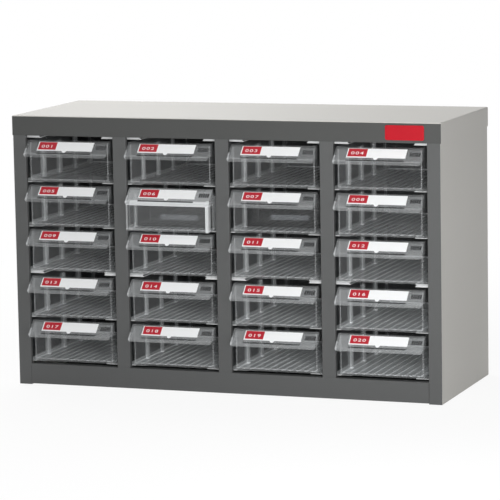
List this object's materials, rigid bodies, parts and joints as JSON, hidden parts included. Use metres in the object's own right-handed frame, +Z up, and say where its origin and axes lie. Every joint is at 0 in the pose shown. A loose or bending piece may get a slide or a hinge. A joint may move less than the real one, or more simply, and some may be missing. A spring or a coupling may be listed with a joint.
{
  "type": "parts bin cabinet",
  "caption": "Steel cabinet with columns of clear drawers for small parts, each with a slanting lip that is handle and label holder.",
  "frame": {"origin": "middle of the footprint, lips of the drawers included, on the ground", "axes": "+X to the right seen from the front, -Y is the front where the drawers come out, +Z up"},
  "size_m": [0.586, 0.24, 0.358],
  "materials": {
    "frame_paint": "satin dark grey powder coat",
    "body_paint": "satin light warm grey powder coat",
    "guide_steel": "galvanised sheet",
    "clear_plastic": "clear moulded plastic",
    "label_card": "printed card, red at its left end",
    "badge_red": "gloss red",
    "rivet_aluminium": "plain"
  },
  "bodies": {
    "root": {"top_panel": "body_paint", "left_side_panel": "body_paint", "right_side_panel": "body_paint", "back_panel": "body_paint", "bottom_panel": "body_paint", "top_rail": "frame_paint", "bottom_rail": "frame_paint", "left_stile": "frame_paint", "right_stile": "frame_paint", "middle_stile_1": "frame_paint", "middle_stile_2": "frame_paint", "middle_stile_3": "frame_paint", "guides_column_1": "guide_steel", "guides_column_2": "guide_steel", "guides_column_3": "guide_steel", "guides_column_4": "guide_steel", "badge_plate": "badge_red", "back_rivets": "rivet_aluminium"},
    "drawer_c1_r1_body": {"drawer_c1_r1": "clear_plastic", "label_card_c1_r1": "label_card"},
    "drawer_c1_r2_body": {"drawer_c1_r2": "clear_plastic", "label_card_c1_r2": "label_card"},
    "drawer_c1_r3_body": {"drawer_c1_r3": "clear_plastic", "label_card_c1_r3": "label_card"},
    "drawer_c1_r4_body": {"drawer_c1_r4": "clear_plastic", "label_card_c1_r4": "label_card"},
    "drawer_c1_r5_body": {"drawer_c1_r5": "clear_plastic", "label_card_c1_r5": "label_card"},
    "drawer_c2_r1_body": {"drawer_c2_r1": "clear_plastic", "label_card_c2_r1": "label_card"},
    "drawer_c2_r2_body": {"drawer_c2_r2": "clear_plastic", "label_card_c2_r2": "label_card", "divider_c2_r2": "clear_plastic"},
    "drawer_c2_r3_body": {"drawer_c2_r3": "clear_plastic", "label_card_c2_r3": "label_card"},
    "drawer_c2_r4_body": {"drawer_c2_r4": "clear_plastic", "label_card_c2_r4": "label_card"},
    "drawer_c2_r5_body": {"drawer_c2_r5": "clear_plastic", "label_card_c2_r5": "label_card"},
    "drawer_c3_r1_body": {"drawer_c3_r1": "clear_plastic", "label_card_c3_r1": "label_card"},
    "drawer_c3_r2_body": {"drawer_c3_r2": "clear_plastic", "label_card_c3_r2": "label_card", "divider_c3_r2": "clear_plastic"},
    "drawer_c3_r3_body": {"drawer_c3_r3": "clear_plastic", "label_card_c3_r3": "label_card"},
    "drawer_c3_r4_body": {"drawer_c3_r4": "clear_plastic", "label_card_c3_r4": "label_card"},
    "drawer_c3_r5_body": {"drawer_c3_r5": "clear_plastic", "label_card_c3_r5": "label_card"},
    "drawer_c4_r1_body": {"drawer_c4_r1": "clear_plastic", "label_card_c4_r1": "label_card"},
    "drawer_c4_r2_body": {"drawer_c4_r2": "clear_plastic", "label_card_c4_r2": "label_card"},
    "drawer_c4_r3_body": {"drawer_c4_r3": "clear_plastic", "label_card_c4_r3": "label_card"},
    "drawer_c4_r4_body": {"drawer_c4_r4": "clear_plastic", "label_card_c4_r4": "label_card"},
    "drawer_c4_r5_body": {"drawer_c4_r5": "clear_plastic", "label_card_c4_r5": "label_card"}
  },
  "joints": [
    {"name": "drawer_c1_r1_slide", "type": "slide", "parent": "root", "child": "drawer_c1_r1_body", "axis": [0, -1, 0], "range_m": [0, 0.15]},
    {"name": "drawer_c1_r2_slide", "type": "slide", "parent": "root", "child": "drawer_c1_r2_body", "axis": [0, -1, 0], "range_m": [0, 0.15]},
    {"name": "drawer_c1_r3_slide", "type": "slide", "parent": "root", "child": "drawer_c1_r3_body", "axis": [0, -1, 0], "range_m": [0, 0.15]},
    {"name": "drawer_c1_r4_slide", "type": "slide", "parent": "root", "child": "drawer_c1_r4_body", "axis": [0, -1, 0], "range_m": [0, 0.15]},
    {"name": "drawer_c1_r5_slide", "type": "slide", "parent": "root", "child": "drawer_c1_r5_body", "axis": [0, -1, 0], "range_m": [0, 0.15]},
    {"name": "drawer_c2_r1_slide", "type": "slide", "parent": "root", "child": "drawer_c2_r1_body", "axis": [0, -1, 0], "range_m": [0, 0.15]},
    {"name": "drawer_c2_r2_slide", "type": "slide", "parent": "root", "child": "drawer_c2_r2_body", "axis": [0, -1, 0], "range_m": [0, 0.15]},
    {"name": "drawer_c2_r3_slide", "type": "slide", "parent": "root", "child": "drawer_c2_r3_body", "axis": [0, -1, 0], "range_m": [0, 0.15]},
    {"name": "drawer_c2_r4_slide", "type": "slide", "parent": "root", "child": "drawer_c2_r4_body", "axis": [0, -1, 0], "range_m": [0, 0.15]},
    {"name": "drawer_c2_r5_slide", "type": "slide", "parent": "root", "child": "drawer_c2_r5_body", "axis": [0, -1, 0], "range_m": [0, 0.15]},
    {"name": "drawer_c3_r1_slide", "type": "slide", "parent": "root", "child": "drawer_c3_r1_body", "axis": [0, -1, 0], "range_m": [0, 0.15]},
    {"name": "drawer_c3_r2_slide", "type": "slide", "parent": "root", "child": "drawer_c3_r2_body", "axis": [0, -1, 0], "range_m": [0, 0.15]},
    {"name": "drawer_c3_r3_slide", "type": "slide", "parent": "root", "child": "drawer_c3_r3_body", "axis": [0, -1, 0], "range_m": [0, 0.15]},
    {"name": "drawer_c3_r4_slide", "type": "slide", "parent": "root", "child": "drawer_c3_r4_body", "axis": [0, -1, 0], "range_m": [0, 0.15]},
    {"name": "drawer_c3_r5_slide", "type": "slide", "parent": "root", "child": "drawer_c3_r5_body", "axis": [0, -1, 0], "range_m": [0, 0.15]},
    {"name": "drawer_c4_r1_slide", "type": "slide", "parent": "root", "child": "drawer_c4_r1_body", "axis": [0, -1, 0], "range_m": [0, 0.15]},
    {"name": "drawer_c4_r2_slide", "type": "slide", "parent": "root", "child": "drawer_c4_r2_body", "axis": [0, -1, 0], "range_m": [0, 0.15]},
    {"name": "drawer_c4_r3_slide", "type": "slide", "parent": "root", "child": "drawer_c4_r3_body", "axis": [0, -1, 0], "range_m": [0, 0.15]},
    {"name": "drawer_c4_r4_slide", "type": "slide", "parent": "root", "child": "drawer_c4_r4_body", "axis": [0, -1, 0], "range_m": [0, 0.15]},
    {"name": "drawer_c4_r5_slide", "type": "slide", "parent": "root", "child": "drawer_c4_r5_body", "axis": [0, -1, 0], "range_m": [0, 0.15]}
  ]
}
